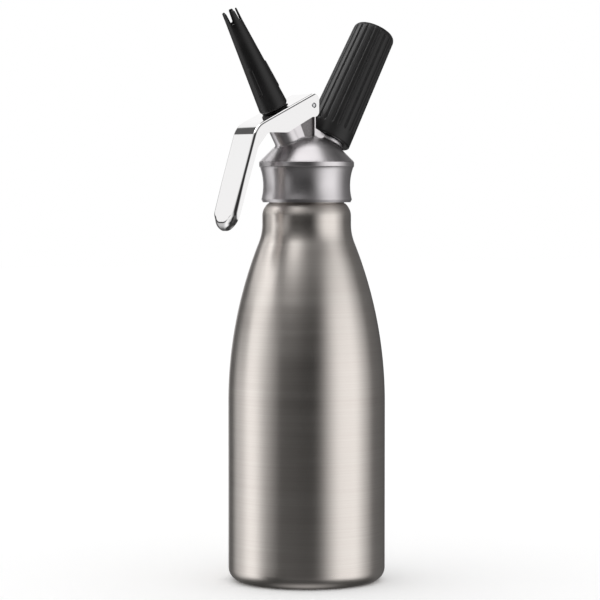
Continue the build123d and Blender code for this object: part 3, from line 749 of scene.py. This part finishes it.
def make_pin():
    """The lever's pin, with a turned groove round each bright end."""
    half = lever_half_width
    line = softened([
        (pin_radius, 0, 0), (pin_radius, half - pin_groove, pin_step_round),
        (pin_end_radius, half - pin_groove, pin_groove_round),
        (pin_end_radius, half - pin_end_crown, pin_end_round), (0, half, 0)])
    line = [(radius, -height) for radius, height in line[:0:-1]] + line
    mesh = turned(line, sides=48)
    mesh.transform(upright @ Matrix.Translation((pin_x, 0, pin_z)) @ Matrix.Rotation(pi / 2, 4, "X"))
    return eased(mesh, crease=35)


finished("lever_pin", make_pin(), turned_finish, "head", "steel", "hinge_pin")


# Lever


def paddle_place(level, across, depth):
    """A point on the lever's paddle: down from the bend's corner, to one side, and inwards."""
    turn = radians(paddle_angle)
    x = bend_x - level * sin(turn) + depth * cos(turn)
    return Vector((x, across, bend_z - level * cos(turn) - depth * sin(turn))) * MM


def tip_stations(depth):
    """Round the tip's outline: a place, the way in from it, the fold's radius and the wall's depth."""
    half = lever_half_width - tip_corner
    centre = tip_end - tip_corner
    stations = []
    for step in range(tip_side_steps + 1):
        level = tip_start + tip_seam + (centre - tip_start - tip_seam) * step / tip_side_steps
        fold = side_fold + (low_fold - side_fold) * step / tip_side_steps
        stations.append((lever_half_width, level, -1, 0, fold, depth))
    for step in range(1, tip_corner_steps + 1):
        turn = radians(90 * step / tip_corner_steps)
        share = min(1, step / (tip_fold_share * tip_corner_steps))
        fold = low_fold + (tip_fold - low_fold) * gently(share)
        place = (half + tip_corner * cos(turn), centre + tip_corner * sin(turn))
        reach = depth + (tip_depth - depth) * step / tip_corner_steps
        stations.append((*place, -cos(turn), -sin(turn), fold, reach))
    return stations + [(-place, level, -way, *rest) for place, level, way, *rest in reversed(stations)]


def fold_section(fold, radius, reach):
    """A fold cut across: a quarter turn or less, then straight to the wall's edge."""
    count = fold_points - 1 if reach > fold else fold_points
    last = radians(90) if reach > fold else acos((fold - reach) / radius)
    turns = [last * step / (count - 1) for step in range(count)]
    line = [(fold - radius * sin(turn), fold - radius * cos(turn)) for turn in turns]
    return line + [(fold - radius, reach)] * (fold_points - count)


def ring_of(edges):
    """The points of a closed ring of edges, in order."""
    vert = edges[0].verts[0]
    ring = []
    left = set(edges)
    while left:
        ring.append(vert)
        edge = next(edge for edge in vert.link_edges if edge in left)
        left.remove(edge)
        vert = edge.other_vert(vert)
    return ring


def sew(bm, one, other):
    """Joins two rings of points that run side by side with triangles, each time across the shorter way."""
    start = min(range(len(one)), key=lambda place: (one[place].co - other[0].co).length)
    one = one[start:] + one[:start + 1]
    if (one[1].co - other[1].co).length > (one[-2].co - other[1].co).length:
        one.reverse()
    other = other + other[:1]
    here = there = 0
    while here < len(one) - 1 or there < len(other) - 1:
        a, b = one[here], other[there]
        if there == len(other) - 1:
            step = True
        elif here == len(one) - 1:
            step = False
        else:
            step = (one[here + 1].co - b.co).length < (other[there + 1].co - a.co).length
        bm.faces.new((a, b, one[here + 1] if step else other[there + 1]))
        here += step
        there += not step


def close_hole(bm):
    """Draws the hole in the lever's plate in round the valve's ring."""
    slope = radians(lever_slope)
    axis = Vector((-sin(slope), 0, cos(slope)))
    middle = Vector((stem_x + hole_shift * cos(slope), 0, stem_z + hole_shift * sin(slope)))
    for vert in bm.verts:
        out = vert.co / MM - middle
        height = out.dot(axis)
        reach = out - axis * height
        if -2 * lever_wall < height < lever_wall and reach.length < solid_hole_reach:
            vert.co = (middle + axis * height + reach * (hole_radius / reach.length)) * MM


def press_tip(bm):
    """Ends the lever's paddle in a pressed tip, whose fold widens into a round nose."""
    top = paddle_place(tip_start, 0, 0)
    down = paddle_place(tip_start + 1, 0, 0) - top
    inward = (paddle_place(tip_start, 0, 1) - top).normalized()
    everything = bm.verts[:] + bm.edges[:] + bm.faces[:]
    cut = bmesh.ops.bisect_plane(
        bm, geom=everything, plane_co=top, plane_no=down, dist=1e-7, clear_outer=True)["geom_cut"]
    depth = max((item.co - top).dot(inward) for item in cut if isinstance(item, bmesh.types.BMVert)) / MM
    end = ring_of([item for item in cut if isinstance(item, bmesh.types.BMEdge)])
    rows = []
    for across, level, way, rise, fold, reach in tip_stations(depth):
        outer = fold_section(fold, fold, reach)
        inner = fold_section(fold, max(fold - lever_wall, least_bend), reach)
        rows.append([
            bm.verts.new(paddle_place(level + rise * inset, across + way * inset, deep))
            for inset, deep in outer + inner[::-1]])
    bm.faces.new([row[0] for row in rows])
    bm.faces.new([row[-1] for row in rows])
    for one, other in zip(rows, rows[1:]):
        for corners in zip(one, one[1:], other[1:], other):
            bm.faces.new(corners)
    sew(bm, end, rows[0] + rows[-1][::-1])
    bmesh.ops.recalc_face_normals(bm, faces=bm.faces)


def shape_lever(bm):
    """What the lever's sheet has beyond its solid."""
    close_hole(bm)
    press_tip(bm)


lever = smoothed_solid("lever", shaped=shape_lever)
finished("pressed_lever", lever, chrome_finish, "lever", "lever_chrome", "lever")

# Valve and the small pieces keep their solids' shapes; each has its name, node, body, finish and slot, and
# a crease where it needs its own
plain_pieces = (
    ("valve_spindle", "valve_stem", "valve", turned_finish, "steel"),
    ("spindle_collar", "stem_collar", "valve", plastic_finish, "black_plastic"),
    ("lower_sealing_ring", "lower_stem_ring", "valve", rubber_finish, "black_rubber", 60),
    ("upper_sealing_ring", "upper_stem_ring", "valve", rubber_finish, "black_rubber", 60),
    ("valve_disc", "valve_seal", "valve", rubber_finish, "black_rubber"),
    ("valve_nut", "seal_nut", "valve", plated_finish, "plated_metal"),
    ("spindle_bush", "valve_bush", "head", acetal_finish, "pale_plastic"),
    ("neck_gasket", "head_gasket", "gasket", rubber_finish, "black_rubber"),
    ("charger_spigot", "inlet_spigot", "head", plated_finish, "plated_metal"),
    ("piercer_carrier", "pin_carrier", "head", plated_finish, "plated_metal"),
    ("piercer", "pierce_pin", "head", turned_finish, "steel"),
    ("gas_check_sleeve", "check_valve", "head", rubber_finish, "black_rubber"),
    ("charger_gasket", "inlet_gasket", "head", rubber_finish, "black_rubber"),
    ("nozzle_seal", "nozzle_washer", "washer", rubber_finish, "black_rubber"),
    ("charger_capsule", "gas_charger", "charger", plated_finish, "plated_metal"),
    ("holder_thread_liner", "holder_liner", "holder", plated_finish, "plated_metal"),
    ("holder_end_pad", "holder_pad", "holder", rubber_finish, "black_rubber"),
)
for label, node, body, material, slot, *crease in plain_pieces:
    finished(label, smoothed_solid(node, *crease), material, body, slot, node)

# The return spring, which shortens as the valve goes down, is wound here at rest and given a mesh of its own
spring_rise = flange_foot - spring_seat - 2 * spring_wire
coil = wound(
    on_stem, turned_finish, foot=spring_seat + spring_wire, turns=spring_turns, rise=spring_rise,
    radius=spring_radius, wire=spring_wire)
spring = finished("return_coil", coil, turned_finish, "head", "steel", "return_spring")
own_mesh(spring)

threaded(
    "spindle_thread", on_stem, turned_finish, "valve", "steel",
    foot=nozzle_foot + 1.0, turns=4.4, pitch=stem_pitch, radius=stem_radius - 0.1, wire=0.28, fade=0.05)


# Nozzle


def rib_rise(height, angle):
    """How far the nozzle's raised grips stand up at a place on its cone."""
    start = nozzle_foot + grip_rib_start
    along = min(height - start, start + grip_rib_length - height)
    step = 2 * pi / grip_rib_count
    turn = (angle - radians(grip_rib_phase) + step / 2) % step - step / 2
    inside = (radians(grip_rib_arc / 2) - abs(turn)) * nozzle_radius
    share = min(max(min(along, inside) / grip_rib_edge, 0.0), 1.0)
    return grip_rib_height * gently(share)


def make_nozzle():
    """The moulded cone, hollow and screwed on at its foot, with its tip cut into tines."""
    socket = stem_radius + socket_play
    socket_roof = nozzle_foot + nozzle_socket
    seat_roof = nozzle_foot + washer_depth
    slot_foot = nozzle_top - tine_length
    taper = (nozzle_radius - nozzle_neck) / nozzle_cone
    outside = softened([
        (socket, seat_roof, 0), (washer_seat, seat_roof, 0), (washer_seat, nozzle_foot, nozzle_seat_edge),
        (nozzle_radius + taper * nozzle_foot_round, nozzle_foot, nozzle_foot_round),
        (nozzle_neck, slot_foot, nozzle_neck_round),
        (nozzle_tip, nozzle_top, nozzle_lip_round),
        (nozzle_tip - nozzle_wall, nozzle_top, nozzle_mouth_round),
        (socket - socket_step, socket_roof, 0), (socket, socket_roof, 0)], closed=True)
    line = spaced(outside + outside[:1], longest=0.8)[:-1]

    def reach(radius, height, angle):
        """The cone's radius with its raised grips."""
        outer = radius > nozzle_neck and height > nozzle_foot + nozzle_foot_round + 1
        return radius + (rib_rise(height, angle) if outer else 0)

    body = turned(line, sides=240, closed=True, reach=reach)
    half_foot = slot_foot_width / 2
    half_mouth = slot_mouth_width / 2
    slot = softened([
        (-half_foot, slot_foot, slot_corner), (half_foot, slot_foot, slot_corner),
        (half_mouth, nozzle_top - tine_round, tine_round),
        (half_mouth + tine_round, nozzle_top + tine_round, 0),
        (-half_mouth - tine_round, nozzle_top + tine_round, 0),
        (-half_mouth, nozzle_top - tine_round, tine_round)], closed=True)
    bm = bmesh.new()
    near = bm.faces.new([bm.verts.new((slot_inside, y, z)) for y, z in slot])
    far = bmesh.ops.extrude_face_region(bm, geom=[near])["geom"]
    ends = [item for item in far if isinstance(item, bmesh.types.BMVert)]
    bmesh.ops.translate(bm, verts=ends, vec=(slot_reach, 0, 0))
    bmesh.ops.recalc_face_normals(bm, faces=bm.faces)
    cutter = held("slot", meshed(bm, "slot"))
    phase = radians(tine_phase + 180 / tine_count)
    mesh = made_of(body, slotting, {
        "Slot": cutter, "Count": tine_count, "Phase": phase, "Material": plastic_finish})
    bpy.data.objects.remove(cutter)
    mesh.transform(on_stem)
    return eased(mesh, crease=32)


finished("tined_nozzle", make_nozzle(), plastic_finish, "nozzle", "black_plastic", "nozzle")


# Charger holder


def make_holder():
    """The moulded grip, bored for the charger and its liner, with flutes pressed into its side."""
    side_height = holder_shoulder - holder_top_corner - holder_foot_edge
    taper = (holder_foot_radius - holder_top_radius) / side_height
    line = softened([
        (liner_bore, 0, 0), (holder_foot_radius - holder_foot_edge, 0, holder_foot_round),
        (holder_foot_radius, holder_foot_edge, holder_side_round),
        (holder_top_radius - taper * holder_top_corner, holder_shoulder, holder_top_corner),
        (holder_top_radius / 3, holder_shoulder + 0.85 * holder_crown, holder_crown_round),
        (0, holder_shoulder + holder_crown, 0)])
    inside = [
        (0, holder_bore_top), (charger_bore, holder_bore_top), (charger_bore, liner_seat),
        (liner_bore, liner_seat), (liner_bore, 0)]
    line = spaced(line, longest=0.7)
    shell = turned(spaced(inside, longest=8.0) + line[1:], flute_sides * flute_count)
    mesh = made_of(shell, fluting, {
        "Count": float(flute_count), "Half Width": flute_half, "Depth": flute_depth, "Start": flute_start,
        "Foot Radius": holder_foot_radius, "Taper": taper, "Material": plastic_finish})
    mesh.transform(on_inlet)
    return eased(mesh, crease=40)


finished("fluted_holder", make_holder(), plastic_finish, "holder", "black_plastic", "holder_grip")
for label, body, foot, radius in (
        ("spigot_thread", "head", holder_thread_foot, spigot_radius - thread_sink),
        ("liner_thread", "holder", holder_thread_foot + holder_pitch / 2, liner_inner + thread_sink)):
    threaded(
        label, on_inlet, plated_finish, body, "plated_metal",
        foot=foot, turns=3.6, pitch=holder_pitch, radius=radius, wire=0.3, fade=0.06)


# Floor, studio walls, light and camera, in metres

camera_right = Vector((0.848, -0.53, 0))
camera_side = Vector((-0.53, -0.848, 0))
camera_shift = -3.87 * MM
camera_distance = 1.5
camera_height = 225.3 * MM
aim_height = 164.9 * MM
room_middle = 0.25
room_radius = 1.3


def make_floor():
    """A pale sheet of paper that keeps the object's shadow."""
    material, tree, place = new_finish("matt_white_paper", {"Roughness": 1.0, "Specular IOR Level": 0.0})
    fibres = add(tree, "ShaderNodeTexNoise", {"Vector": place, "Scale": 0.9 / MM, "Detail": 3.0})
    tone = add(tree, "ShaderNodeValToRGB", {"Fac": fibres}, stops=(
        (0, linear("#FDFDFD")), (1, linear("#FFFFFF"))))
    bm = bmesh.new()
    bmesh.ops.create_grid(bm, x_segments=1, y_segments=1, size=6.0)
    mesh = meshed(bm, "paper")
    mesh.materials.append(coated(material, {"Base Color": tone}))
    floor = held("paper_floor", mesh)
    floor.visible_glossy = False


def make_studio():
    """The dim room round the table, which only reflections see: a bright panel on each side, a white back,
    a dark front behind the camera, dark gaps between them and a bright panel overhead."""
    material = bpy.data.materials.new("studio_room")
    material.use_nodes = True
    tree = material.node_tree
    tree.nodes.clear()
    place = add(tree, "ShaderNodeTexCoord").outputs["Object"]
    # the camera's direction is turned to the middle of the gradient
    facing = -atan2(camera_side.y, camera_side.x)
    turned_place = add(tree, "ShaderNodeMapping", {"Vector": place, "Rotation": (0, 0, facing)})
    around = add(tree, "ShaderNodeTexGradient", {"Vector": turned_place}, gradient_type="RADIAL")
    level_place = add(tree, "ShaderNodeVectorMath", {0: place, 1: (0, 0, -room_middle)}, operation="ADD")
    direction = add(tree, "ShaderNodeVectorMath", {0: level_place}, operation="NORMALIZE")
    up = add(tree, "ShaderNodeSeparateXYZ", {0: direction}).outputs["Z"]
    height = add(tree, "ShaderNodeMath", {0: up}, operation="ARCSINE")
    # each belt: the degrees above the table over which it fades in, then its brightness by degrees round
    # from the camera
    back = ((162, 0.12), (174, 0.7), (180, 1.0))
    high_right = ((20, 0.08), (42, 0.45), (56, 0.66), (70, 0.8), (86, 0.6), (96, 0.36), (112, 0.14), *back)
    belts = (
        (-90, -60, ((-180, 0.05), (180, 0.05))),
        (-46, -34, (
            (-180, 0.1), (-140, 0.12), (-108, 0.8), (-94, 1.15), (-82, 1.15), (-72, 0.5), (-62, 0.05),
            (-44, 0.04), (-32, 0.12), (12, 0.14), (24, 0.3), (38, 0.78), (48, 1.1), (76, 1.15), (90, 0.7),
            (112, 0.16), (180, 0.1))),
        (-22, -16, (
            (-180, 0.9), (-168, 0.8), (-154, 0.1), (-136, 0.12), (-122, 0.6), (-106, 0.7), (-94, 1.15),
            (-82, 1.15), (-66, 0.67), (-48, 0.3), (-38, 0.06), (4, 0.02), (12, 0.02), (20, 0.14), (38, 0.78),
            (48, 1.1), (76, 1.15), (90, 0.7), (112, 0.16), (166, 0.08), (176, 0.5), (180, 0.9))),
        (-1, 1, (
            (-180, 1.0), (-165, 0.4), (-150, 0.1), (-105, 0.08), (-98, 1.05), (-86, 1.0), (-66, 0.62),
            (-48, 0.3), (-38, 0.06), (6, 0.02), (14, 0.03), (22, 0.18), (38, 0.8), (50, 1.1), (76, 1.1),
            (94, 0.6), (114, 0.16), *back)),
        (8.5, 10.5, (
            (-180, 1.1), (-166, 1.1), (-160, 0.25), (-136, 0.25), (-129, 1.1), (-110, 1.1), (-100, 0.9),
            (-82, 0.9), (-66, 0.45), (-48, 0.15), (-38, 0.03), (20, 0.03), (30, 0.3), (40, 0.8), (50, 1.1),
            (76, 1.1), (94, 0.6), (114, 0.16), *back)),
        (19.2, 20.8, (
            (-180, 1.1), (-167, 1.1), (-161, 0.25), (-136, 0.2), (-130, 0.12), (-119, 0.12), (-108, 0.6),
            (-92, 0.85), (-74, 0.75), (-62, 0.08), (-20, 0.05), *high_right)),
        (24, 25, (
            (-180, 1.1), (-158, 1.1), (-152, 0.4), (-140, 0.4), (-134, 0.12), (-123, 0.12), (-112, 0.7),
            (-92, 1.0), (-74, 0.9), (-62, 0.08), (-54, 0.05), (-20, 0.05), *high_right)),
        (28, 29, (
            (-180, 1.1), (-143, 1.1), (-139, 0.12), (-128, 0.12), (-119, 1.6), (-92, 1.6), (-74, 1.0),
            (-64, 0.25), (-54, 0.03), (-44, 0.35), (-30, 0.2), (-8, 0.25), (11, 0.24), (29, 0.4), (50, 0.85),
            (66, 0.75), (86, 0.6), (111, 0.18), *back)),
        (33, 36, (
            (-180, 0.05), (-157, 0.05), (-149, 0.9), (-138, 0.7), (-128, 0.6), (-121, 2.2), (-110, 4.6),
            (-76, 4.6), (-68, 0.7), (-58, 0.4), (-46, 1.6), (-32, 1.8), (-12, 0.7), (4, 0.25), (24, 0.2),
            (36, 0.06), (62, 0.06), (70, 0.6), (86, 0.5), (108, 0.12), (126, 0.05), (180, 0.05))),
        (65, 70, ((-180, 1.4), (180, 1.4))),
    )
    glow = None
    for start, full, stops in belts:
        ramp = add(tree, "ShaderNodeValToRGB", {"Fac": around.outputs["Fac"]}, stops=[
            (angle / 360 + 0.5, (level, level, level, 1)) for angle, level in stops])
        fade = add(tree, "ShaderNodeMapRange", {
            "Value": height, "From Min": radians(start), "From Max": radians(full)},
            interpolation_type="SMOOTHSTEP")
        belt = add(tree, "ShaderNodeMix", {0: fade, 7: ramp}, data_type="RGBA")
        if glow:
            tree.links.new(glow, belt.inputs[6])
        glow = belt.outputs[2]
    light = add(tree, "ShaderNodeEmission", {"Color": glow, "Strength": 1.0})
    add(tree, "ShaderNodeOutputMaterial", {"Surface": light})
    wall = arc((0, room_middle), room_radius, -88, 88, steps=44)
    room = turned([(0, room_middle - room_radius)] + wall + [(0, room_middle + room_radius)], sides=96)
    room.materials.append(material)
    studio = held("studio_room", room)
    studio.visible_camera = False
    studio.visible_diffuse = False
    studio.visible_transmission = False
    studio.visible_shadow = False


def make_light():
    """An even white room for the eye and for soft light."""
    world = bpy.data.worlds.new("white_room")
    world.use_nodes = True
    tree = world.node_tree
    tree.nodes.clear()
    path = add(tree, "ShaderNodeLightPath").outputs
    seen = path["Is Camera Ray"]
    for ray in ("Is Glossy Ray", "Is Transmission Ray"):
        seen = add(tree, "ShaderNodeMath", {0: seen, 1: path[ray]}, operation="MAXIMUM")
    shown = add(tree, "ShaderNodeBackground", {"Color": (1, 1, 1, 1), "Strength": 1.0})
    light = add(tree, "ShaderNodeBackground", {"Color": (1, 1, 1, 1), "Strength": 1.04})
    both = add(tree, "ShaderNodeMixShader", {0: seen, 1: light, 2: shown})
    add(tree, "ShaderNodeOutputWorld", {"Surface": both})
    bpy.context.scene.world = world


def make_camera():
    """A long lens near the middle's height, some thirty degrees off the lever's side."""
    lens = bpy.data.cameras.new("camera")
    lens.lens = 153.5
    lens.sensor_width = 36.0
    lens.clip_end = 20
    camera = bpy.data.objects.new("camera", lens)
    bpy.context.scene.collection.objects.link(camera)
    aside = camera_right * camera_shift
    eye = aside + camera_side * camera_distance + Vector((0, 0, camera_height))
    aim = aside + Vector((0, 0, aim_height))
    camera.location = eye
    camera.rotation_euler = (aim - eye).to_track_quat("-Z", "Y").to_euler()
    bpy.context.scene.camera = camera


make_floor()
make_studio()
make_light()
make_camera()
bpy.context.scene.view_settings.view_transform = "Standard"
